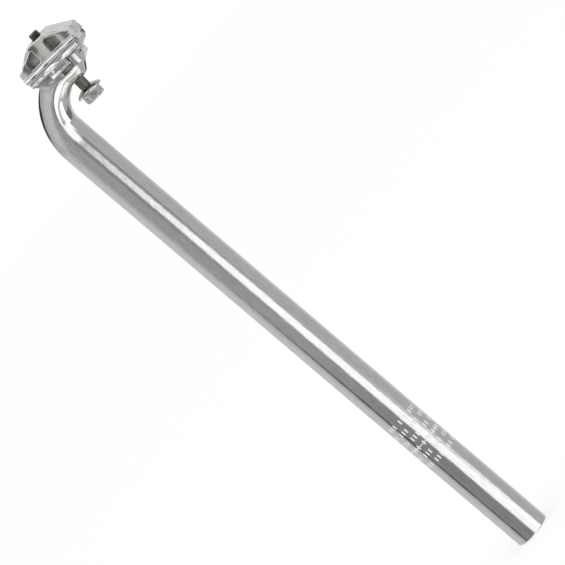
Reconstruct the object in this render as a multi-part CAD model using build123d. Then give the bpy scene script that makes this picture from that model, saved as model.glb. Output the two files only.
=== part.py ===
from build123d import *
import os
from math import asin, cos, degrees, pi, radians, sin, sqrt, tan

# Laid-back bicycle seatpost with a micro-adjust saddle clamp held by one bolt from below.
# Frame: X forward, Y to the rider's left, Z up along the tube. The origin is on the tube's axis
# at the insertion limit, the least depth that has to stay inside the seat tube.

# Post tube, in millimetres
tube_diameter = 27.2
tube_wall = 2.5
post_length = 460.0             # bottom end to the middle of the saddle rails, along the tube
insertion_depth = 100.0         # bottom end to the insertion limit
tube_end_chamfer = 0.6
bore_tip_angle = 118.0          # cone left at the blind end of the bore

# Bent neck
setback = 35.5                  # tube axis to the clamp bolt, level with the rails
bend_radius = 38.4              # tube centreline through the bend
bend_drop = 50.6                # rails down to the start of the bend
neck_rear_radius = 17.5         # hollow behind the neck, up to the head's underside
neck_rear_drop = 39.5           # rails down to the middle of that hollow
neck_lead = 12.0                # straight run of the forged neck below the bend
neck_full_angle = 90.0          # the neck is nearly as wide as the head from here on round the bend
neck_side_inset = 0.4           # it stays this far inside the head's sides there
neck_chin_angle = 76.5          # from here on its back turns out into the head's underside
neck_end_angle = 109.0          # the neck ends here, under the rear lip
neck_end_distance = 38.0        # middle of the bend to the back of the neck, at that end
neck_chin_bulge = 2.4           # the chin swells down by this much on the way

# Head and its serrated trough
clamp_tilt = 4.5                # the clamp leans back this far from square to the tube
trough_radius = 34.0
trough_depth = 13.0             # rails down to the bottom of the trough, on the bolt
head_thickness = 8.5            # trough to underside, on the bolt
head_width = 33.0
head_front_reach = 22.0         # front lip ahead of the bolt
head_front_lip = 1.6            # blunt edge of the front lip
head_rear_reach = 18.0          # rear lip behind the bolt
head_lip_round = 3.4            # below the blunt edge of the rear lip
head_plate_drop = 13.4          # rails down to the underside of the plate round the neck's top
head_corner_radius = 9.0
head_cheek = 3.0                # smooth wall on each side of the serrations
head_ear_drop = 6.3             # rails down to the top of the ears at the rear of the cheeks
head_ear_start = 8.5            # the ears start this far behind the bolt
serration_pitch = 2.0
serration_depth = 0.6
serration_land = 0.3            # flat left on each crest
serration_reach = 20.0          # the serrations run this far each way from the bolt
serration_clearance = 0.25      # between the crests of the head and those of the cradle

# Saddle rails and the two jaws that hold them
rail_diameter = 7.0
rail_spacing = 44.0
rail_grip = 0.05                # the grooves are this much under the rail's radius
bead_wall = 1.1                 # wall round each rail groove
jaw_gap = 0.3                   # between the jaws' lips with the rails just gripped
jaw_lip_round = 0.5             # outer edges of the lips
jaw_length = 45.0
jaw_end_round = 1.1             # upright corners of both jaws

# Lower cradle
cradle_length = 43.0
cradle_skirt_drop = 6.0         # rails down to the lower edge of the body, fore and aft of the flap
cradle_skirt_inset = 3.0        # the body stands this far inside the rails there
cradle_flap_drop = 9.5          # rails down to the lower edge of the flap beside the bolt
cradle_flap_length = 16.0
cradle_flap_round = 2.5         # lower edge and upright corners of the flap
cradle_skirt_lean = 0.7         # body and flap draw in by this much at their lower edge
cradle_base_side_gap = 0.3      # the base stands this much inside the head's sides
cradle_ear_clearance = 0.3      # round the head's ears
cradle_pocket_depth = 5.5
cradle_pocket_wall = 3.0
cradle_end_wall = 4.0
cradle_boss_diameter = 17.0

# Upper clamp
clamp_height = 17.8
clamp_end_height = 8.0
clamp_flat_length = 13.0        # level top round the bolt
clamp_side_lean = 4.3           # each side draws in by this much at the top
clamp_rib_width = 9.6
clamp_end_wall = 8.4
clamp_pocket_floor = 4.9        # rails up to the lower edge of the side pockets
clamp_rim = 1.8                 # rim left above the side pockets
clamp_pocket_depth = 8.0
clamp_pocket_round = 1.6
clamp_pocket_draft = 6.0        # degrees that the pockets' walls open outward
clamp_pocket_edge = 0.8         # round on the pockets' outer edges
clamp_edge_round = 1.6          # along the roof's edges
clamp_web = 3.0                 # wall between a side pocket and the hollow below
clamp_hollow_wall = 4.2         # roof and end walls of the hollow below
clamp_boss_diameter = 16.0

# Bolt and washer
bolt_diameter = 8.0
bolt_length = 55.0
bolt_hex = 13.0                 # across flats
bolt_head_height = 6.3
bolt_crown_angle = 30.0         # chamfer on the head's corners
bolt_crown_share = 0.95         # round face of the head, as a share of the flats
bolt_point_chamfer = 1.0
bolt_proud = 4.2                # bolt end above the upper clamp
bolt_hole_clearance = 0.5       # on the radius, in the cradle and the head's slot
thread_clearance = 0.05         # on the radius, in the tapped hole
washer_diameter = 20.0
washer_thickness = 4.0
washer_edge = 1.2               # upright rim below the dome
washer_dome_radius = 15.5
washer_hole_clearance = 0.25    # on the radius
track_clearance = 0.5           # on each side of the washer's top, in its track

# Saddle tilt that the slot and the track leave room for
tilt_forward = 16.0             # nose of the saddle down, bolt head swings back
tilt_back = 3.0                 # nose of the saddle up, bolt head swings forward

# Places worked out from those sizes
tube_radius = tube_diameter / 2
rail_radius = rail_diameter / 2
rail_y = rail_spacing / 2
rail_z = post_length - insertion_depth
bend_z = rail_z - bend_drop
bend_x = -bend_radius
pivot_height = trough_radius - trough_depth
underside_radius = trough_radius + head_thickness
groove_radius = rail_radius - rail_grip
bead_radius = groove_radius + bead_wall
bolt_radius = bolt_diameter / 2
bolt_top = clamp_height + bolt_proud
bolt_seat = bolt_top - bolt_length
washer_top = bolt_seat + washer_thickness
far = 2 * post_length           # longer than any cut has to be

lean = radians(clamp_tilt)
clamp_frame = Plane(
    origin=(-setback, 0, rail_z),
    x_dir=(cos(lean), 0, sin(lean)),
    z_dir=(-sin(lean), 0, cos(lean)),
)
clamp_place = clamp_frame.location

# The side outlines lie in the XZ plane and are pushed out evenly to both sides.
side_plane = Plane(origin=(0, 0, 0), x_dir=(1, 0, 0), z_dir=(0, -1, 0))
cross_plane = Plane.YZ


def across(face, width):
    """Push a side outline out to half the width on each side."""
    return extrude(side_plane * face, amount=width / 2, both=True)


def along(face, length):
    """Push a cross section out to half the length fore and aft."""
    return extrude(cross_plane * face, amount=length / 2, both=True)


def outline(*points):
    """Closed face through corners given in order."""
    return make_face(Polyline(*points, close=True))


def rounded(face, radius, *points):
    """The same face with its corners at these points rounded."""
    corners = [face.vertices().sort_by_distance((*point, 0))[0] for point in points]
    return fillet(corners, radius)


def swung(radius, angle):
    """Point in the clamp's side view, swung forward from the bolt about the trough's centre."""
    return (radius * sin(angle), pivot_height - radius * cos(angle))


def tilted(angle_deg, piece):
    """Clamp piece turned about the trough's centre, nose of the saddle down."""
    return Pos(0, 0, pivot_height) * Rot(0, angle_deg, 0) * Pos(0, 0, -pivot_height) * piece


def serrations(radius):
    """Kites strung along an arc about the trough's centre, one for each groove."""
    pitch_angle = serration_pitch / trough_radius
    half_angle = (serration_pitch - serration_land) / 2 / trough_radius
    each_way = int(asin(serration_reach / trough_radius) / pitch_angle)
    grooves = Sketch()
    for mark in range(-each_way, each_way + 1):
        middle = mark * pitch_angle
        grooves += outline(
            swung(radius, middle - half_angle),
            swung(radius + serration_depth, middle),
            swung(radius, middle + half_angle),
            swung(radius - serration_depth, middle),
        )
    return grooves


# Bent neck: ellipses square to the bend, from the round tube to the wide top
def neck_rear_distance(angle):
    """Distance from the bend's centre to the back of the neck, along one ray."""
    chin = radians(neck_chin_angle)
    if angle > chin:
        share = (angle - chin) / (radians(neck_end_angle) - chin)
        chin_distance = neck_rear_distance(chin)
        swell = neck_chin_bulge * sin(pi * share)
        return chin_distance + (neck_end_distance - chin_distance) * share**4 - swell
    straight = (bend_radius - tube_radius) / cos(angle)
    hollow_x = -tube_radius - neck_rear_radius - bend_x
    hollow_z = rail_z - neck_rear_drop - bend_z
    if straight * sin(angle) <= hollow_z:
        return straight
    middle = hollow_x * cos(angle) + hollow_z * sin(angle)
    return middle + sqrt(middle**2 + neck_rear_radius**2 - hollow_x**2 - hollow_z**2)


def neck_section(angle_deg):
    """Ellipse from the front of the bend to the back of the neck, square to the side view."""
    angle = radians(angle_deg)
    front = bend_radius + tube_radius
    rear = neck_rear_distance(angle)
    middle = (front + rear) / 2
    share = sin(radians(90) * min(1, angle_deg / neck_full_angle)) ** 2
    half_width = tube_radius + (head_width / 2 - neck_side_inset - tube_radius) * share
    place = Plane(
        origin=(bend_x + middle * cos(angle), 0, bend_z + middle * sin(angle)),
        x_dir=(cos(angle), 0, sin(angle)),
        z_dir=(-sin(angle), 0, cos(angle)),
    )
    return place * Ellipse((front - rear) / 2, half_width)


tube_top = bend_z - neck_lead
round_end = Plane.XY.offset(tube_top) * Circle(tube_radius)
round_mid = Plane.XY.offset(bend_z - neck_lead / 2) * Circle(tube_radius)
bend_sections = [neck_section(neck_end_angle * step / 9) for step in range(1, 10)]
round_start = Plane.XY.offset(bend_z) * Circle(tube_radius)
neck = loft([round_end, round_mid, round_start, *bend_sections])

tube = Plane.XY.offset(-insertion_depth) * extrude(Circle(tube_radius), amount=insertion_depth + tube_top)


# Head plate round the neck's top, drawn in the clamp's own side view
def trough_z(x):
    """Height of the trough's arc, in the clamp's side view."""
    return pivot_height - sqrt(trough_radius**2 - x**2)


head_front_edge = (head_front_reach, trough_z(head_front_reach) - head_front_lip)
head_front_foot = (head_front_edge[0] + head_front_edge[1] + head_plate_drop, -head_plate_drop)
head_rear_edge = (-head_rear_reach, -head_plate_drop)
head_side = outline(
    head_front_edge,
    (head_front_reach, 0),
    (-head_rear_reach, 0),
    head_rear_edge,
    head_front_foot,
)
head_side = rounded(head_side, head_front_lip / 2, head_front_edge)
head_side = rounded(head_side, head_lip_round, head_rear_edge)
head_length = head_front_reach + head_rear_reach
head_middle = (head_front_reach - head_rear_reach) / 2
head_plan = Pos(head_middle, 0) * RectangleRounded(head_length, head_width, head_corner_radius)
head = across(head_side, head_width) & extrude(head_plan, amount=-2 * head_plate_drop)

# The neck's top is trimmed to the rounded rear corners of the plate
rear_corners = Rectangle(2 * head_rear_reach, 2 * head_width, align=(Align.MAX, Align.CENTER)) - head_plan
neck -= clamp_place * extrude(rear_corners, amount=2 * head_plate_drop, both=True)

post = tube + neck + clamp_place * head

# Trough between two smooth cheeks, which stand up as ears behind the bolt, and its serrations
trough = Pos(0, pivot_height) * Circle(trough_radius)
trough_width = head_width - 2 * head_cheek
above_ears = Pos(-head_ear_start, -head_ear_drop) * Rectangle(far, far, align=(Align.MAX, Align.MIN))
ahead_of_ears = Pos(-head_ear_start, 0) * Rectangle(far, far, align=(Align.MIN, Align.CENTER))
post -= clamp_place * across(trough, trough_width)
post -= clamp_place * across(trough & ahead_of_ears, 2 * head_width)
post -= clamp_place * across(above_ears, 2 * head_width)
post -= clamp_place * across(serrations(trough_radius), trough_width)

# Slot for the bolt: its clearance hole at both ends of the tilt, and the fan between them
slot_half = bolt_radius + bolt_hole_clearance
slot_reach = underside_radius + washer_thickness
slot_end = Pos(0, 0, pivot_height) * extrude(Circle(slot_half), amount=-slot_reach)
slot_fan = outline(
    (0, pivot_height),
    swung(slot_reach, radians(tilt_back)),
    swung(slot_reach, -radians(tilt_forward)),
)
slot = across(slot_fan, 2 * slot_half) + tilted(tilt_forward, slot_end) + tilted(-tilt_back, slot_end)
post -= clamp_place * slot

# Track under the head, round about the same centre, that the top of the washer slides along
dome_centre = bolt_seat + washer_edge - sqrt(washer_dome_radius**2 - washer_diameter**2 / 4)
dome_top = sqrt(washer_dome_radius**2 - (washer_top - dome_centre) ** 2)
track_half = dome_top + track_clearance


def track_angle(radius, tilt):
    """Angle that the top of the washer swings out to, at one distance from the trough's centre."""
    return radians(tilt) + asin(track_half / radius)


track_front = track_angle(underside_radius, tilt_back)
track_rear = track_angle(underside_radius, tilt_forward)
track_roof = CenterArc(
    (0, pivot_height), underside_radius, degrees(-track_rear) - 90, degrees(track_rear + track_front)
)
track_rest = Polyline(
    swung(underside_radius, track_front),
    swung(slot_reach, track_angle(slot_reach, tilt_back)),
    swung(slot_reach, -track_angle(slot_reach, tilt_forward)),
    swung(underside_radius, -track_rear),
)
post -= clamp_place * across(make_face(track_roof + track_rest), 2 * track_half)

# Bore of the tube, blind under the neck, with a chamfer at the open end
bore_radius = tube_radius - tube_wall
bore_depth = insertion_depth + tube_top
bore_tip = bore_radius / tan(radians(bore_tip_angle / 2))
bore_half = Polyline(
    (0, -insertion_depth),
    (bore_radius, -insertion_depth),
    (bore_radius, -insertion_depth + bore_depth),
    (0, -insertion_depth + bore_depth + bore_tip),
    close=True,
)
post -= revolve(Plane.XZ * make_face(bore_half), Axis.Z)
post = chamfer(post.edges().group_by(Axis.Z)[0], tube_end_chamfer)

# Jaw sections, shared by the cradle and the upper clamp
jaw_half = rail_y + bead_radius
rail_grooves = Pos(rail_y, 0) * Circle(groove_radius) + Pos(-rail_y, 0) * Circle(groove_radius)
rail_beads = Pos(rail_y, 0) * Circle(bead_radius) + Pos(-rail_y, 0) * Circle(bead_radius)
body_half = rail_y + bead_radius * cos(radians(60))


parting = jaw_gap / 2


def half_beads(side):
    """Half of each bead, on one side of the jaws' parting gap."""
    keep = Pos(0, side * (parting + bead_radius)) * Rectangle(4 * jaw_half, 2 * bead_radius)
    return rail_beads & keep


def jaw_section(side, body):
    """Beads and body of one jaw, with the rail grooves cut and the outer lips rounded."""
    section = half_beads(side) + body - rail_grooves
    corners = section.vertices().sort_by(Axis.X)
    return fillet([corners[0], corners[-1]], jaw_lip_round)


# Lower cradle: beads and skirt below the rails, and under them the base that fills the trough
base_half = head_width / 2 - cradle_base_side_gap
skirt_half = rail_y - cradle_skirt_inset
skirt_low = skirt_half - cradle_skirt_lean
cradle_body = outline(
    (-skirt_half, -parting),
    (skirt_half, -parting),
    (skirt_low, -cradle_skirt_drop),
    (base_half, -cradle_skirt_drop),
    (base_half, -trough_depth),
    (-base_half, -trough_depth),
    (-base_half, -cradle_skirt_drop),
    (-skirt_low, -cradle_skirt_drop),
)
cradle = along(jaw_section(-1, cradle_body), cradle_length)

# Rounded flap on each side of the bolt, then the belly that sits in the trough
flap_half = body_half - cradle_skirt_lean
flap_low = [(flap_half, -cradle_flap_drop), (-flap_half, -cradle_flap_drop)]
flap_section = outline((-body_half, -parting), (body_half, -parting), *flap_low)
flap_section = rounded(flap_section, cradle_flap_round, *flap_low)
flap_plan = RectangleRounded(cradle_flap_length, 2 * body_half, cradle_flap_round)
flap = along(flap_section - rail_grooves, cradle_flap_length)
cradle += flap & extrude(flap_plan, amount=-2 * cradle_flap_drop)
cradle_plan = RectangleRounded(cradle_length, 2 * jaw_half, jaw_end_round)
cradle &= extrude(cradle_plan, amount=-2 * trough_depth)
crest = trough_radius - serration_clearance
belly = Pos(0, pivot_height) * Circle(crest)
cradle &= across(belly, 4 * jaw_half)

# Relief in the cradle for the ears, which pass on each side of its base as it tilts back
tooth_half = trough_width / 2 - cradle_ear_clearance
ear_inside = sqrt((pivot_height + head_ear_drop) ** 2 + head_ear_start**2) - cradle_ear_clearance
ear_swing = radians(tilt_forward) - asin(head_ear_start / trough_radius)
relief_start = trough_radius * sin(ear_swing) + 2 * cradle_ear_clearance
behind = Pos(relief_start, 0) * Rectangle(far, far, align=(Align.MAX, Align.CENTER))
relief = behind - Pos(0, pivot_height) * Circle(ear_inside)
relief_width = head_width + 2 * cradle_ear_clearance
between = across(Rectangle(2 * far, 2 * far), 2 * tooth_half)
cradle -= across(relief, relief_width) - between
cradle -= across(serrations(crest), 2 * tooth_half)

# Bolt hole and the pockets round its boss
hole_radius = bolt_radius + bolt_hole_clearance
cradle -= Pos(0, 0, -trough_depth) * extrude(Circle(hole_radius), amount=2 * trough_depth)
pocket_half = tooth_half - cradle_pocket_wall
pocket_plan = Rectangle(cradle_length - 2 * cradle_end_wall, 2 * pocket_half)
pocket_plan -= Circle(cradle_boss_diameter / 2)
cradle -= extrude(pocket_plan, amount=-cradle_pocket_depth)

# Upper clamp: an arch over both rails, with a rib and two pockets in each side
half_length = jaw_length / 2
clamp_side = outline(
    (-half_length, 0),
    (half_length, 0),
    (half_length, clamp_end_height),
    (clamp_flat_length / 2, clamp_height),
    (-clamp_flat_length / 2, clamp_height),
    (-half_length, clamp_end_height),
)
clamp_body = outline(
    (-body_half, parting),
    (body_half, parting),
    (body_half - clamp_side_lean, clamp_height),
    (-body_half + clamp_side_lean, clamp_height),
)
clamp_plan = RectangleRounded(jaw_length, 2 * jaw_half, jaw_end_round)
clamp = along(jaw_section(1, clamp_body), jaw_length) & across(clamp_side, 4 * jaw_half)
clamp &= extrude(clamp_plan, amount=2 * clamp_height)
roof = [face for face in clamp.faces() if face.normal_at().Z > 0.5 and face.center().Z > clamp_end_height]
clamp = fillet(ShapeList(edge for face in roof for edge in face.edges()), clamp_edge_round)


def roof_z(x):
    """Height of the arch's sloping top."""
    slope = (clamp_height - clamp_end_height) / (half_length - clamp_flat_length / 2)
    return min(clamp_height, clamp_height - slope * (abs(x) - clamp_flat_length / 2))


pocket_near = clamp_rib_width / 2
pocket_far = half_length - clamp_end_wall
pocket_inner = body_half - clamp_pocket_depth
pocket_side = outline(
    (pocket_near, clamp_pocket_floor),
    (pocket_far, clamp_pocket_floor),
    (pocket_far, roof_z(pocket_far) - clamp_rim),
    (pocket_near, clamp_height - clamp_rim),
)
pocket_side = fillet(pocket_side.vertices(), clamp_pocket_round)
pocket_plane = Plane(origin=(0, body_half, 0), x_dir=(1, 0, 0), z_dir=(0, -1, 0))
pocket_reach = clamp_pocket_depth + clamp_side_lean
pocket = extrude(pocket_plane * pocket_side, amount=pocket_reach, taper=clamp_pocket_draft)
core_section = outline(
    (-pocket_inner, 0),
    (pocket_inner, 0),
    (pocket_inner - clamp_side_lean, clamp_height),
    (-pocket_inner + clamp_side_lean, clamp_height),
)
pocket -= along(core_section, 2 * jaw_length)
pocket += mirror(pocket, Plane.YZ)
clamp -= pocket + mirror(pocket, Plane.XZ)
pocket_rims = [wire for face in clamp.faces() for wire in face.inner_wires()]
clamp = fillet(ShapeList(edge for rim in pocket_rims for edge in rim.edges()), clamp_pocket_edge)

hollow_half = pocket_inner - clamp_side_lean - clamp_web
hollow_far = half_length - clamp_hollow_wall
hollow_side = outline(
    (-hollow_far, 0),
    (hollow_far, 0),
    (hollow_far, roof_z(hollow_far) - clamp_hollow_wall),
    (clamp_flat_length / 2, clamp_height - clamp_hollow_wall),
    (-clamp_flat_length / 2, clamp_height - clamp_hollow_wall),
    (-hollow_far, roof_z(hollow_far) - clamp_hollow_wall),
)
boss = extrude(Circle(clamp_boss_diameter / 2), amount=clamp_height)
clamp -= across(hollow_side, 2 * hollow_half) - boss
clamp -= extrude(Circle(bolt_radius + thread_clearance), amount=2 * clamp_height)

# Bolt: hexagon head below, thread end above the upper clamp
hexagon = RegularPolygon(bolt_hex / 2, 6, major_radius=False)
bolt_head = Pos(0, 0, bolt_seat - bolt_head_height) * extrude(hexagon, amount=bolt_head_height)
crown = Pos(0, 0, bolt_seat - bolt_head_height) * extrude(Circle(bolt_hex / sqrt(3)), amount=bolt_head_height)
crown_width = bolt_hex / sqrt(3) - bolt_crown_share * bolt_hex / 2
crown_height = crown_width * tan(radians(bolt_crown_angle))
bolt_head &= chamfer(crown.edges().group_by(Axis.Z)[0], crown_height, crown_width)
shank = Pos(0, 0, bolt_seat) * extrude(Circle(bolt_radius), amount=bolt_length)
shank = chamfer(shank.edges().group_by(Axis.Z)[-1], bolt_point_chamfer)
bolt = bolt_head + shank

# Washer: domed on top, so that it finds its seat along the edges of the slot
washer_plan = Circle(washer_diameter / 2) - Circle(bolt_radius + washer_hole_clearance)
washer = Pos(0, 0, bolt_seat) * extrude(washer_plan, amount=washer_thickness)
washer &= Pos(0, 0, dome_centre) * Sphere(washer_dome_radius)

os.makedirs("parts", exist_ok=True)
nodes = {
    "post": post,
    "lower_cradle": clamp_place * cradle,
    "upper_clamp": clamp_place * clamp,
    "clamp_bolt": clamp_place * bolt,
    "bolt_washer": clamp_place * washer,
}
for name, piece in nodes.items():
    export_step(piece, f"parts/{name}.step")
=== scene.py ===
import bpy
import numpy as np
from mathutils import Matrix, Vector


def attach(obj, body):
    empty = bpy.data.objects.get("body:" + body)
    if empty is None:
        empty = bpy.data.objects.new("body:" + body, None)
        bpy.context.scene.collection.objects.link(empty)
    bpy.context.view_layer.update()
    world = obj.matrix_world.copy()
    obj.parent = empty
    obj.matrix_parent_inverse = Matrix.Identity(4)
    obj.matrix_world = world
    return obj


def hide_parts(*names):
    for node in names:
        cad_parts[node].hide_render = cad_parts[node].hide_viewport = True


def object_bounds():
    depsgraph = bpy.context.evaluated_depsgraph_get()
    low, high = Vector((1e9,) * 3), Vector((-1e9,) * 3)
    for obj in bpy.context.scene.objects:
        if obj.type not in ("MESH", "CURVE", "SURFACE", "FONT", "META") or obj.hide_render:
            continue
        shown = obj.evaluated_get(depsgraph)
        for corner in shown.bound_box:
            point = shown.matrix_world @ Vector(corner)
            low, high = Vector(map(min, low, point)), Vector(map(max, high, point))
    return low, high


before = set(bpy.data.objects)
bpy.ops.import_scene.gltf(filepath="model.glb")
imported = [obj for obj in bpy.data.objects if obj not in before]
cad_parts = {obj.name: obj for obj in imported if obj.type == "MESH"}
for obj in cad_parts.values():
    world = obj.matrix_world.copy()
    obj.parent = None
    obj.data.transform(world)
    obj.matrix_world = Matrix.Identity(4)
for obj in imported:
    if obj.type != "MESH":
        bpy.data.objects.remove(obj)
cad_box = [list(corner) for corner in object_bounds()]

# Post: a drawn aluminium tube with its bent neck and head forged in one piece with it.
# It is turned, ground and polished along its length, so it mirrors the room in long stripes
# with a faint grain. A printed band of dashes shows how deep it has to stay in the frame.


def linear(hex_code):
    """Turns an sRGB hex colour to linear light: each channel through the sRGB curve."""
    srgb = np.array([int(hex_code[at:at + 2], 16) for at in (1, 3, 5)]) / 255
    light = np.where(srgb <= 0.04045, srgb / 12.92, ((srgb + 0.055) / 1.055) ** 2.4)
    return (*light, 1.0)


def wire(owner, node, inputs):
    """Fills a node's sockets: each takes a value or the (node, output) it is linked to."""
    for name, value in inputs.items():
        if isinstance(value, tuple) and isinstance(value[0], bpy.types.Node):
            owner.node_tree.links.new(value[0].outputs[value[1]], node.inputs[name])
        else:
            node.inputs[name].default_value = value


def add(owner, kind, inputs=None, **settings):
    """Adds one node with its settings to a material or world and fills its sockets."""
    node = owner.node_tree.nodes.new(kind)
    for name, value in settings.items():
        setattr(node, name, value)
    wire(owner, node, inputs or {})
    return node


def blank(owner):
    """Gives a material or world an empty node tree."""
    owner.use_nodes = True
    owner.node_tree.nodes.clear()
    return owner


def new_material(name):
    """Node material with a Principled shader on its output."""
    material = blank(bpy.data.materials.new(name))
    shader = add(material, "ShaderNodeBsdfPrincipled")
    add(material, "ShaderNodeOutputMaterial", {"Surface": (shader, "BSDF")})
    return material, shader


def dress(name, material):
    """Gives a carried-over CAD node one material."""
    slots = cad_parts[name].data.materials
    slots.clear()
    slots.append(material)


# Polished aluminium: nearly a mirror, drawn out along the tube by the polishing belt. The belt
# lines are about 0.4 mm apart and 60 mm long and show as a slight change of gloss. A faint peel,
# 1.4 mm across and 6 mm long, mottles the tone and ripples the edges of the stripes.
belt_lines = (2500.0, 2500.0, 17.0)
peel_marks = (700.0, 700.0, 160.0)
peel_height = 0.00005
polished_alloy, alloy = new_material("polished_aluminium")
where = add(polished_alloy, "ShaderNodeTexCoord")
belt_size = add(polished_alloy, "ShaderNodeMapping", {
    "Vector": (where, "Object"), "Scale": belt_lines})
belt = add(polished_alloy, "ShaderNodeTexNoise", {
    "Vector": (belt_size, "Vector"), "Scale": 1.0, "Detail": 2.0})
peel_size = add(polished_alloy, "ShaderNodeMapping", {
    "Vector": (where, "Object"), "Scale": peel_marks})
peel = add(polished_alloy, "ShaderNodeTexNoise", {
    "Vector": (peel_size, "Vector"), "Scale": 1.0, "Detail": 2.0})
gloss = add(polished_alloy, "ShaderNodeMapRange", {
    "Value": (belt, "Fac"), "From Min": 0.3, "From Max": 0.7, "To Min": 0.07, "To Max": 0.12})
tone = add(polished_alloy, "ShaderNodeMix", {
    "Factor": (peel, "Fac"), "A": linear("#d6d6d4"), "B": linear("#fefefc")}, data_type="RGBA")
ripple = add(polished_alloy, "ShaderNodeBump", {
    "Height": (peel, "Fac"), "Strength": 1.0, "Distance": peel_height})

# Printed dashes: rings of upright bars 3.6 mm tall and 1.1 mm wide, 7.2 mm apart up the tube, three
# bars and a gap in turn, each ring begun a little further round; a thin line marks the limit.
ring_spacing = 0.0072
ring_offset = 0.25
ring_share = 0.5
bars_round = 32
bars_shift = 1.37
bar_share = 0.42
bars_in_group = 4
group_share = 0.72
print_middle, print_half = 0.0036, 0.0225
line_half = 0.0003
ink_roughness = 0.35
place = add(polished_alloy, "ShaderNodeSeparateXYZ", {"Vector": (where, "Object")})
around = add(polished_alloy, "ShaderNodeMath", {
    0: (place, "Y"), 1: (place, "X")}, operation="ARCTAN2")
rings = add(polished_alloy, "ShaderNodeMath", {
    0: (place, "Z"), 1: 1 / ring_spacing, 2: ring_offset}, operation="MULTIPLY_ADD")
ring_number = add(polished_alloy, "ShaderNodeMath", {0: (rings, "Value")}, operation="FLOOR")
ring_part = add(polished_alloy, "ShaderNodeMath", {0: (rings, "Value")}, operation="FRACT")
on_ring = add(polished_alloy, "ShaderNodeMath", {
    0: (ring_part, "Value"), 1: ring_share}, operation="LESS_THAN")
bars = add(polished_alloy, "ShaderNodeMath", {
    0: (around, "Value"), 1: bars_round / (2 * np.pi)}, operation="MULTIPLY")
bars_on = add(polished_alloy, "ShaderNodeMath", {
    0: (ring_number, "Value"), 1: bars_shift, 2: (bars, "Value")}, operation="MULTIPLY_ADD")
bar_part = add(polished_alloy, "ShaderNodeMath", {0: (bars_on, "Value")}, operation="FRACT")
on_bar = add(polished_alloy, "ShaderNodeMath", {
    0: (bar_part, "Value"), 1: bar_share}, operation="LESS_THAN")
groups = add(polished_alloy, "ShaderNodeMath", {
    0: (bars_on, "Value"), 1: 1 / bars_in_group}, operation="MULTIPLY")
group_part = add(polished_alloy, "ShaderNodeMath", {0: (groups, "Value")}, operation="FRACT")
in_group = add(polished_alloy, "ShaderNodeMath", {
    0: (group_part, "Value"), 1: group_share}, operation="LESS_THAN")
in_zone = add(polished_alloy, "ShaderNodeMath", {
    0: (place, "Z"), 1: print_middle, 2: print_half}, operation="COMPARE")
bar_shape = add(polished_alloy, "ShaderNodeMath", {
    0: (on_bar, "Value"), 1: (in_group, "Value")}, operation="MULTIPLY")
ring_shape = add(polished_alloy, "ShaderNodeMath", {
    0: (on_ring, "Value"), 1: (in_zone, "Value")}, operation="MULTIPLY")
bar_mark = add(polished_alloy, "ShaderNodeMath", {
    0: (bar_shape, "Value"), 1: (ring_shape, "Value")}, operation="MULTIPLY")
line_mark = add(polished_alloy, "ShaderNodeMath", {
    0: (place, "Z"), 1: 0.0, 2: line_half}, operation="COMPARE")
ink = add(polished_alloy, "ShaderNodeMath", {
    0: (bar_mark, "Value"), 1: (line_mark, "Value")}, operation="MAXIMUM")
printed = add(polished_alloy, "ShaderNodeMix", {
    "Factor": (ink, "Value"), "A": (tone, "Result"), "B": linear("#e2e2e0")}, data_type="RGBA")
bare = add(polished_alloy, "ShaderNodeMath", {0: 1.0, 1: (ink, "Value")}, operation="SUBTRACT")
matt = add(polished_alloy, "ShaderNodeMath", {
    0: (ink, "Value"), 1: ink_roughness, 2: (gloss, "Result")}, operation="MULTIPLY_ADD")
wire(polished_alloy, alloy, {
    "Base Color": (printed, "Result"), "Metallic": (bare, "Value"),
    "Roughness": (matt, "Value"), "Normal": (ripple, "Normal")})
dress("post", polished_alloy)

# Neck: forged with the tube and polished by hand. Its bend mirrors the whole room, so a smooth
# skin, 0.07 to 0.22 mm proud, is laid over the flat facets of the carried-over neck. Lengths here
# and in the sections of the bolt and washer are in millimetres.
tube_radius = 13.6
bend_radius = 38.4
bend_z = 309.4
hollow_radius = 17.5
hollow_z = 320.5
chin_angle = np.radians(76.5)
chin_dip = 2.4
end_angle = np.radians(109.0)
end_reach = 38.0
side_swell = 2.5
lead_length = 45.0
lead_share = 0.15
least_proud, more_proud = 0.07, 0.15
proud_from, proud_over = 0.95, 0.45


def back_of_neck(angle):
    """Distance from the bend's middle to the back of the neck along a ray: the tube's own back,
    then the round hollow, and past the chin a fourth power of the angle less a half sine."""
    ray = np.minimum(angle, chin_angle)
    straight = (bend_radius - tube_radius) / np.cos(ray)
    side, rise = bend_radius - tube_radius - hollow_radius, hollow_z - bend_z
    middle = side * np.cos(ray) + rise * np.sin(ray)
    hollow = middle + np.sqrt(middle**2 + hollow_radius**2 - side**2 - rise**2)
    back = np.where(straight * np.sin(ray) <= rise, straight, hollow)
    share = np.clip((angle - chin_angle) / (end_angle - chin_angle), 0, 1)
    return back + (end_reach - back) * share**4 - chin_dip * np.sin(np.pi * share)


def eased(share):
    """Eases a share from 0 to 1: three times its square less twice its cube."""
    return share**2 * (3 - 2 * share)


def grid_faces(rows, columns, start=0, closed=True):
    """Quads of a grid, counted from one vertex on; a closed one meets itself along its columns."""
    row, column = np.meshgrid(
        np.arange(rows - 1), np.arange(columns if closed else columns - 1), indexing="ij")
    here = row * columns + column
    beside = row * columns + (column + 1) % columns
    quads = np.stack([here, beside, beside + columns, here + columns], axis=-1)
    return start + quads.reshape(-1, 4)


def new_object(name, points, faces, materials):
    """Smooth mesh object in the scene, from points in metres and the corners of each face."""
    mesh = bpy.data.meshes.new(name)
    mesh.from_pydata(points.reshape(-1, 3).tolist(), [], faces.tolist())
    for material in materials:
        mesh.materials.append(material)
    mesh.shade_smooth()
    made = bpy.data.objects.new(name, mesh)
    bpy.context.scene.collection.objects.link(made)
    return made


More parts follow.
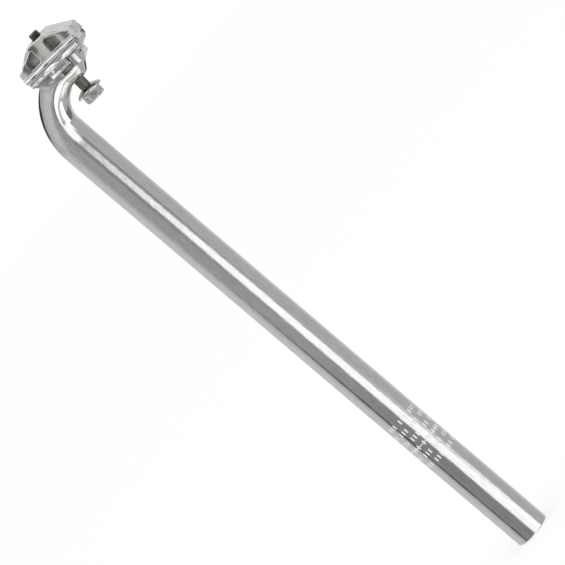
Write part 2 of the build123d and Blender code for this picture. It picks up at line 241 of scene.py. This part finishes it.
# The skin is an ellipse at each angle of the bend, from the tube's front to the back of the neck,
# led in by circles that swell out of the tube.
lead = np.linspace(bend_z - lead_length, bend_z - 0.5, 24)
bend = np.radians(np.linspace(0, 88, 160))[:, None]
ring = np.linspace(0, 2 * np.pi, 160, endpoint=False)[None, :]
proud = least_proud + more_proud * eased(np.clip((bend - proud_from) / proud_over, 0, 1))
front, back = bend_radius + tube_radius, back_of_neck(bend)
half_depth = (front - back) / 2 + proud
half_width = tube_radius + proud + side_swell * np.sin(bend) ** 2
reach = (front + back) / 2 + half_depth * np.cos(ring)
bent = np.stack([reach * np.cos(bend) - bend_radius, half_width * np.sin(ring),
                 bend_z + reach * np.sin(bend)], axis=-1)
swelling = eased((lead - lead[0]) / (bend_z - lead[0]))[:, None]
lead_radius = tube_radius + least_proud * (lead_share + (1 - lead_share) * swelling)
straight = np.stack([lead_radius * np.cos(ring), lead_radius * np.sin(ring),
                     lead[:, None] + 0 * ring], axis=-1)
neck_points = np.concatenate([straight, bent])

# The skin stops short of the trough, the slot and the rounded corners of the head, which are
# measured from the middle of the clamp along its own leaning axes.
lean = np.radians(4.5)
clamp_origin = np.array([-35.5, 0.0, 360.0])
clamp_axes = np.array([[np.cos(lean), 0.0, np.sin(lean)], [0.0, 1.0, 0.0],
                       [-np.sin(lean), 0.0, np.cos(lean)]])
tilt_height = 21.0
trough_reach = 34.4
slot_low = bend_z + 21.0
slot_half = 7.5
from_clamp = (neck_points - clamp_origin) @ clamp_axes.T
below_trough = np.hypot(from_clamp[..., 0], from_clamp[..., 2] - tilt_height) > trough_reach
clear_of_slot = (neck_points[..., 2] < slot_low) | (np.abs(neck_points[..., 1]) > slot_half)
kept = below_trough & clear_of_slot
quads = grid_faces(*kept.shape)
quads = quads[kept.ravel()[quads].all(axis=1)]
neck_skin = new_object("polished_neck", neck_points / 1000, quads, [polished_alloy])
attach(neck_skin, "post")

# Saddle clamp, both jaws: forged aluminium, tumbled and bright polished. The forging leaves slow
# waves under the polish, which bend the reflections, and the wheel does not reach into the pockets,
# so they stay duller. Their darker tone is painted shade, laid on where ambient occlusion finds
# them.
facet_width = 0.012


def forged_alloy(name, wave_scale, wave_height, flute, recess, painted_shade_tone):
    """Bright forged aluminium: waves in turns per metre and metres, the share of upright facets
    12 mm wide in them, and the reach and tone of painted shade in the recesses, which also stay
    duller."""
    material, shader = new_material(name)
    where = add(material, "ShaderNodeTexCoord")
    waves = add(material, "ShaderNodeTexNoise", {
        "Vector": (where, "Object"), "Scale": wave_scale, "Detail": 0.5})
    facets = add(material, "ShaderNodeTexWave", {
        "Vector": (where, "Object"), "Scale": 2 * np.pi / (20 * facet_width),
        "Distortion": 1.5, "Detail": 1.0}, bands_direction="X", wave_profile="SIN")
    relief = add(material, "ShaderNodeMath", {
        0: (facets, "Fac"), 1: flute, 2: (waves, "Fac")}, operation="MULTIPLY_ADD")
    peen = add(material, "ShaderNodeTexNoise", {
        "Vector": (where, "Object"), "Scale": 1200.0, "Detail": 2.0})
    open_sky = add(material, "ShaderNodeAmbientOcclusion", {"Distance": recess}, samples=12)
    lit_and_polished = add(material, "ShaderNodeMapRange", {
        "Value": (open_sky, "AO"), "From Min": 0.15, "From Max": 0.85})
    dull = add(material, "ShaderNodeMapRange", {
        "Value": (lit_and_polished, "Result"), "To Min": 0.32, "To Max": 0.06})
    gloss = add(material, "ShaderNodeMath", {
        0: (peen, "Fac"), 1: 0.12, 2: (dull, "Result")}, operation="MULTIPLY_ADD")
    # Painted shade: the base colour goes darker in pockets, corners and between parts, as far as
    # the ambient occlusion finds them hemmed in.
    tone = add(material, "ShaderNodeMix", {
        "Factor": (lit_and_polished, "Result"), "A": linear(painted_shade_tone), "B": linear("#ececea")},
        data_type="RGBA")
    swell = add(material, "ShaderNodeBump", {
        "Height": (relief, "Value"), "Strength": 1.0, "Distance": wave_height})
    wire(material, shader, {
        "Base Color": (tone, "Result"), "Metallic": 1.0,
        "Roughness": (gloss, "Value"), "Normal": (swell, "Normal")})
    return material


# The last colour given to each jaw is the painted shade of its pockets and corners.
dress("upper_clamp", forged_alloy("bright_forged_jaw", 80.0, 0.0018, 0.16, 0.008, "#acaca8"))
dress("lower_cradle", forged_alloy("bright_forged_cradle", 130.0, 0.0022, 0.0, 0.005, "#4c4c48"))

# Clamp bolt: an M8 hexagon bolt of zinc-plated steel, 55 mm long, pushed up from below. The
# head is forged and chamfered, and the upper part of the shank carries a rolled thread.
bolt_seat = -33.0
head_height = 6.3
across_flats = 13.0
crown_share = 0.475
chamfer_slope = np.sqrt(3)
shank_radius = 4.0
thread_pitch = 1.25
thread_depth = 0.7
thread_start = -6.0
steps_per_pitch = 12
bolt_end = 22.0


def turned(radius, angle, height):
    """Points round the bolt's axis: radius times cosine and sine of the angle, at a height."""
    radius, angle, height = np.broadcast_arrays(radius, angle, height)
    spots = np.stack([radius * np.cos(angle), radius * np.sin(angle), height], axis=-1)
    return (clamp_origin + spots @ clamp_axes) / 1000


def surface_piece(name, grids, materials, marks):
    """One mesh object from closed grids of points, with a material number for each grid."""
    points = np.concatenate([grid.reshape(-1, 3) for grid in grids])
    starts = np.cumsum([0] + [grid.shape[0] * grid.shape[1] for grid in grids])
    faces = [grid_faces(*grid.shape[:2], start) for grid, start in zip(grids, starts)]
    piece = new_object(name, points, np.concatenate(faces), materials)
    numbers = np.concatenate([np.full(len(part), mark) for part, mark in zip(faces, marks)])
    piece.data.polygons.foreach_set("material_index", numbers.astype(np.int32))
    piece.data.validate()
    return piece


def speckled_steel(name, grain_scale, detail, gloss_range, tones):
    """Steel whose tone and roughness wander between two values, with a grain in turns per metre."""
    material, shader = new_material(name)
    where = add(material, "ShaderNodeTexCoord")
    grain = add(material, "ShaderNodeTexNoise", {
        "Vector": (where, "Object"), "Scale": grain_scale, "Detail": detail})
    gloss = add(material, "ShaderNodeMapRange", {
        "Value": (grain, "Fac"), "To Min": gloss_range[0], "To Max": gloss_range[1]})
    tone = add(material, "ShaderNodeMix", {
        "Factor": (grain, "Fac"), "A": linear(tones[0]), "B": linear(tones[1])}, data_type="RGBA")
    wire(material, shader, {
        "Base Color": (tone, "Result"), "Metallic": 1.0, "Roughness": (gloss, "Result")})
    return material, shader, where


# The head's radius is the hexagon's flat divided by the cosine of the angle from the middle of
# that flat, and no larger than the cone of the crown chamfer.
angle = np.linspace(0, 2 * np.pi, 240, endpoint=False)
hexagon = across_flats / 2 / np.cos(angle % (np.pi / 3) - np.pi / 6)
rise = np.array([0, 0, 0.05, 0.25, 0.5, 0.75, 1.0, 1.25,
                 head_height - 0.25, head_height - 0.05, head_height, head_height])[:, None]
inset = np.array([9, 0.3, 0.08, 0, 0, 0, 0, 0, 0, 0.06, 0.25, 9])[:, None]
cone = crown_share * across_flats + chamfer_slope * rise
head_radius = np.clip(np.minimum(hexagon, cone) - inset, 0, None)
head_grid = turned(head_radius, angle, bolt_seat - head_height + rise)

# The thread's radius is a clipped triangle wave of height along the bolt, one pitch per turn.
turn = np.linspace(0, 2 * np.pi, 64, endpoint=False)
plain_heights = np.array([bolt_seat - 0.1, bolt_seat + 2, thread_start - 4,
                          thread_start - 0.8, thread_start])[:, None]
plain_grid = turned(shank_radius, turn, plain_heights)
thread_heights = np.arange(thread_start + 0.1, bolt_end - 0.9, thread_pitch / steps_per_pitch)
point_heights = bolt_end - np.array([0.85, 0.4, 0.05, 0, 0])
height = np.concatenate([[thread_start], thread_heights, point_heights])[:, None]
phase = np.abs((height / thread_pitch - turn / (2 * np.pi)) % 1 - 0.5) * 2
groove = thread_depth * np.clip(1.35 * phase - 0.1, 0, 1)
run_in = np.clip((height - thread_start) / thread_pitch, 0, 1)
taper = np.clip(height - (bolt_end - 1.0), 0, 1)
shank = np.minimum(shank_radius - groove * run_in, shank_radius - taper)
shank[-1] = 0
thread_grid = turned(shank, turn, height)

# Zinc-plated steel: greyer and softer than the polished alloy, with a fine grain of 0.3 mm and the
# shallow dents of hot forging, about 4 mm apart.
plated_steel, plating, where = speckled_steel(
    "zinc_plated_steel", 3000.0, 2.0, (0.2, 0.34), ("#dad9d5", "#eeede9"))
dents = add(plated_steel, "ShaderNodeTexNoise", {
    "Vector": (where, "Object"), "Scale": 220.0, "Detail": 0.0})
swell = add(plated_steel, "ShaderNodeBump", {
    "Height": (dents, "Fac"), "Strength": 1.0, "Distance": 0.0022})
wire(plated_steel, plating, {"Normal": (swell, "Normal")})

# Oiled thread: the same steel, blackened by oil and dirt in the grooves, in spots of about 1 mm.
oiled_thread = speckled_steel(
    "oiled_black_thread", 900.0, 3.0, (0.22, 0.45), ("#646260", "#9a9893"))[0]

bolt = surface_piece(
    "threaded_bolt", [head_grid, plain_grid, thread_grid], [plated_steel, oiled_thread], [0, 1, 1])
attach(bolt, "jaw")
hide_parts("clamp_bolt")

# Bolt washer: a turned steel dome that sits on the bolt's head and finds its seat along the
# edges of the slot above it, whatever the tilt. It is bright turned and plated.
dome_radius = 15.5
washer_radius = 10.0
washer_edge = 1.2
washer_thickness = 4.0
hole_radius = 4.25

# The dome's radius at a height is the sphere's: the root of its radius squared less height squared.
dome_low = np.sqrt(dome_radius**2 - washer_radius**2)
climb = np.linspace(0, washer_thickness - washer_edge - 0.1, 14)
dome = np.sqrt(dome_radius**2 - (dome_low + climb) ** 2)
washer_profile = np.concatenate([
    [hole_radius, washer_radius - 0.3, washer_radius - 0.08, washer_radius, washer_radius],
    dome, [dome[-1] - 0.15, hole_radius + 0.2, hole_radius, hole_radius]])[:, None]
washer_heights = np.concatenate([
    [0, 0, 0.08, 0.3, washer_edge - 0.1], washer_edge + climb,
    [washer_thickness, washer_thickness, washer_thickness - 0.2, 0]])[:, None]
sweep = np.linspace(0, 2 * np.pi, 144, endpoint=False)
washer_grid = turned(washer_profile, sweep, bolt_seat + washer_heights)

# Bright turned steel: spots of about 0.7 mm in the plating change its gloss slightly.
turned_steel = speckled_steel(
    "bright_turned_steel", 1500.0, 2.0, (0.08, 0.2), ("#d2d1cd", "#e4e3df"))[0]

washer = surface_piece("domed_washer", [washer_grid], [turned_steel], [0])
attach(washer, "jaw")
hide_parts("bolt_washer")

# Floor and white room: a plain pale floor under the post, and a room that is white to the camera.
room_light = 0.98
floor_reach = 6.0
floor_glow = 0.65


def shown_rays(owner):
    """Adds a switch: 1 for the rays of the camera, of mirrors and of glass, and 0 for others."""
    ray = add(owner, "ShaderNodeLightPath")
    seen = add(owner, "ShaderNodeMath", {
        0: (ray, "Is Camera Ray"), 1: (ray, "Is Glossy Ray")}, operation="MAXIMUM")
    return add(owner, "ShaderNodeMath", {
        0: (seen, "Value"), 1: (ray, "Is Transmission Ray")}, operation="MAXIMUM")


world = blank(bpy.data.worlds.new("white_room"))
bpy.context.scene.world = world
level = add(world, "ShaderNodeMapRange", {
    "Value": (shown_rays(world), "Value"), "To Min": room_light, "To Max": 1.0})
room = add(world, "ShaderNodeBackground", {
    "Color": linear("#ffffff"), "Strength": (level, "Result")})
add(world, "ShaderNodeOutputWorld", {"Surface": (room, "Background")})

# The floor is part paint, which keeps the post's shadow, and part white glow. Mirrors do not see
# it, because the cards below stand in its place.
floor_paint = blank(bpy.data.materials.new("pale_floor"))
share = add(floor_paint, "ShaderNodeMath", {
    0: (shown_rays(floor_paint), "Value"), 1: floor_glow}, operation="MULTIPLY")
pale = add(floor_paint, "ShaderNodeBsdfDiffuse", {"Color": linear("#fcfcfb")})
white = add(floor_paint, "ShaderNodeEmission", {"Color": linear("#ffffff"), "Strength": 1.0})
mixed = add(floor_paint, "ShaderNodeMixShader", {
    0: (share, "Value"), 1: (pale, "BSDF"), 2: (white, "Emission")})
add(floor_paint, "ShaderNodeOutputMaterial", {"Surface": (mixed, "Shader")})
floor_corners = np.array([[-1.0, -1.0, 0.0], [1.0, -1.0, 0.0], [1.0, 1.0, 0.0], [-1.0, 1.0, 0.0]])
floor_points = floor_corners * floor_reach + np.array([0.0, 0.0, cad_box[0][2]])
floor = new_object("floor", floor_points, np.arange(4)[None, :], [floor_paint])
floor.visible_glossy = False

# Studio cards: grey walls, white softboxes beside and below the camera and a few darker flags, all
# with soft edges. Only polished metal sees them, as the stripes along the tube.
camera_bearing = 102.0
room_centre = np.array([0.0, 0.0, 0.15])
card_rows, card_columns = 31, 61
hard_edge = 0.0001


def card(name, bearing, elevation, level, distance, soft=(0.0, 0.0)):
    """Part of a sphere round the object: bearings from the camera's own, elevations above level.
    Its cover rises from nothing at the edge to full over the soft width in degrees."""
    paper = blank(bpy.data.materials.new(name))
    glow = add(paper, "ShaderNodeEmission", {"Color": linear("#ffffff"), "Strength": level})
    clear = add(paper, "ShaderNodeBsdfTransparent")
    spread = add(paper, "ShaderNodeUVMap", uv_map="spread")
    place = add(paper, "ShaderNodeSeparateXYZ", {"Vector": (spread, "UV")})
    fades = []
    for axis, width, span in (("X", soft[0], bearing), ("Y", soft[1], elevation)):
        rim = max(width / (span[1] - span[0]), hard_edge)
        far = add(paper, "ShaderNodeMath", {0: 1.0, 1: (place, axis)}, operation="SUBTRACT")
        near = add(paper, "ShaderNodeMath", {
            0: (place, axis), 1: (far, "Value")}, operation="MINIMUM")
        fades.append(add(paper, "ShaderNodeMapRange", {
            "Value": (near, "Value"), "From Max": rim}, interpolation_type="SMOOTHSTEP"))
    cover = add(paper, "ShaderNodeMath", {
        0: (fades[0], "Result"), 1: (fades[1], "Result")}, operation="MULTIPLY")
    mixed = add(paper, "ShaderNodeMixShader", {
        0: (cover, "Value"), 1: (clear, "BSDF"), 2: (glow, "Emission")})
    add(paper, "ShaderNodeOutputMaterial", {"Surface": (mixed, "Shader")})

    share, climb = np.meshgrid(np.linspace(0, 1, card_columns), np.linspace(0, 1, card_rows))
    across = np.radians(camera_bearing + bearing[0] + (bearing[1] - bearing[0]) * share)
    up = np.radians(elevation[0] + (elevation[1] - elevation[0]) * climb)
    spots = np.stack(
        [np.cos(up) * np.cos(across), np.cos(up) * np.sin(across), np.sin(up)], axis=-1)
    faces = grid_faces(card_rows, card_columns, closed=False)
    board = new_object(name, room_centre + distance * spots, faces, [paper])
    corners = np.stack([share, climb], axis=-1).reshape(-1, 2)[faces.ravel()]
    layer = board.data.uv_layers.new(name="spread")
    layer.data.foreach_set("uv", corners.astype(np.float32).ravel())
    board.visible_camera = False
    board.visible_diffuse = False
    board.visible_shadow = False


card("grey_walls", (-180, 180), (-90, 90), 0.45, 15.6)
card("ceiling", (-180, 180), (66, 98), 0.62, 15.2, (0, 8))
card("ceiling_strip", (-120, 20), (54, 70), 1.6, 14.8, (20, 5))
card("dark_ceiling", (-22, 125), (8, 62), 0.14, 14.0, (16, 12))
card("rear_ceiling", (122, 182), (36, 66), 1.1, 14.4, (10, 8))
card("side_softbox", (-110, -16), (-3, 56), 0.55, 14.4, (20, 8))
card("light_wall", (-205, -74), (-25, 2), 0.6, 14.4, (34, 6))
card("dark_wall", (-84, 6), (-25, 2), 0.35, 14.0, (22, 6))
card("key_softbox", (-5, 45), (-20, -4.2), 1.15, 13.2, (10, 2.4))
card("key_top", (-2, 40), (-12, -0.5), 1.2, 13.1, (10, 5))
card("stripe_border", (-22, 56), (-6.4, 3), 0.26, 13.7, (8, 1.6))
card("floor_softbox", (-29, 17), (-75, -12), 1.3, 13.2, (7, 14))
card("floor_left", (-52, -20), (-66, -36), 1.2, 12.8, (10, 10))
card("floor_pool", (-180, 180), (-110, -64), 1.1, 12.8, (0, 20))
card("floor_grey", (14, 42), (-75, -22), 0.62, 13.6, (4, 6))
card("second_softbox", (38, 84), (-66, -17), 1.8, 13.2, (6, 6))
card("bridge_softbox", (24, 66), (-25, -9), 1.3, 13.0, (14, 5))
card("dark_floor", (78, 140), (-42, -15), 0.17, 13.6, (8, 6))
card("rear_light", (110, 200), (-22, 0), 0.68, 13.6, (50, 5))
card("back_light", (140, 186), (1, 32), 0.68, 14.0, (10, 8))
card("black_flag", (-174, -128), (4, 30), 0.03, 13.6, (6, 6))
card("dark_line", (-80, -61), (-26, -5), 0.08, 3.4, (8, 6))
card("dark_end", (-66, 0), (-24, -8), 0.24, 3.5, (10, 5))

# Soft lamps: one overhead and one to the side of the camera, for the print and the floor's shadow.
lamp_size = 1.0
lamp_aim = np.array([-0.02, 0.0, 0.15])


def placed(right, up, back, spot):
    """Matrix that stands a lamp or camera on a spot, with its three axes as the columns."""
    axes = Matrix(np.stack([right, up, back], axis=1).tolist()).to_4x4()
    return Matrix.Translation(spot.tolist()) @ axes


lamps = (("top_lamp", (-0.4, 0.5, 2.2), 5.0), ("side_lamp", (1.2, 2.0, 1.2), 2.5))
for lamp_name, lamp_spot, power in lamps:
    lamp = bpy.data.lights.new(lamp_name, "AREA")
    lamp.size = lamp_size
    lamp.energy = power
    stand = bpy.data.objects.new(lamp_name, lamp)
    spot = np.array(lamp_spot)
    back = (spot - lamp_aim) / np.linalg.norm(spot - lamp_aim)
    side = np.cross([0.0, 0.0, 1.0], back)
    side /= np.linalg.norm(side)
    stand.matrix_world = placed(side, np.cross(back, side), back, spot)
    stand.visible_glossy = False
    bpy.context.scene.collection.objects.link(stand)

# Camera: nearly level with the post on its left side, a little behind it, and rolled so that the
# post runs from the upper left to the lower right. A long lens from 2.5 m away.
view_angle, view_lift, view_roll = np.radians([12.0, 7.0, 310.46])
view_distance = 2.5
view_target = np.array([-0.01848, 0.0, 0.14372])
focal_pixels = 3685.95
picture_pixels = 565
sensor_width = 36.0
toward = np.array([-np.sin(view_angle) * np.cos(view_lift),
                   np.cos(view_angle) * np.cos(view_lift), np.sin(view_lift)])
level_right = np.array([-np.cos(view_angle), -np.sin(view_angle), 0.0])
level_up = np.cross(toward, level_right)
right = np.cos(view_roll) * level_right + np.sin(view_roll) * level_up
up = -np.sin(view_roll) * level_right + np.cos(view_roll) * level_up
camera_data = bpy.data.cameras.new("camera")
camera_data.sensor_width = sensor_width
camera_data.lens = sensor_width * focal_pixels / picture_pixels
camera_data.clip_end = 100.0
camera = bpy.data.objects.new("camera", camera_data)
camera.matrix_world = placed(right, up, toward, view_target + view_distance * toward)
bpy.context.scene.collection.objects.link(camera)
bpy.context.scene.camera = camera

bpy.context.scene.view_settings.view_transform = "Standard"
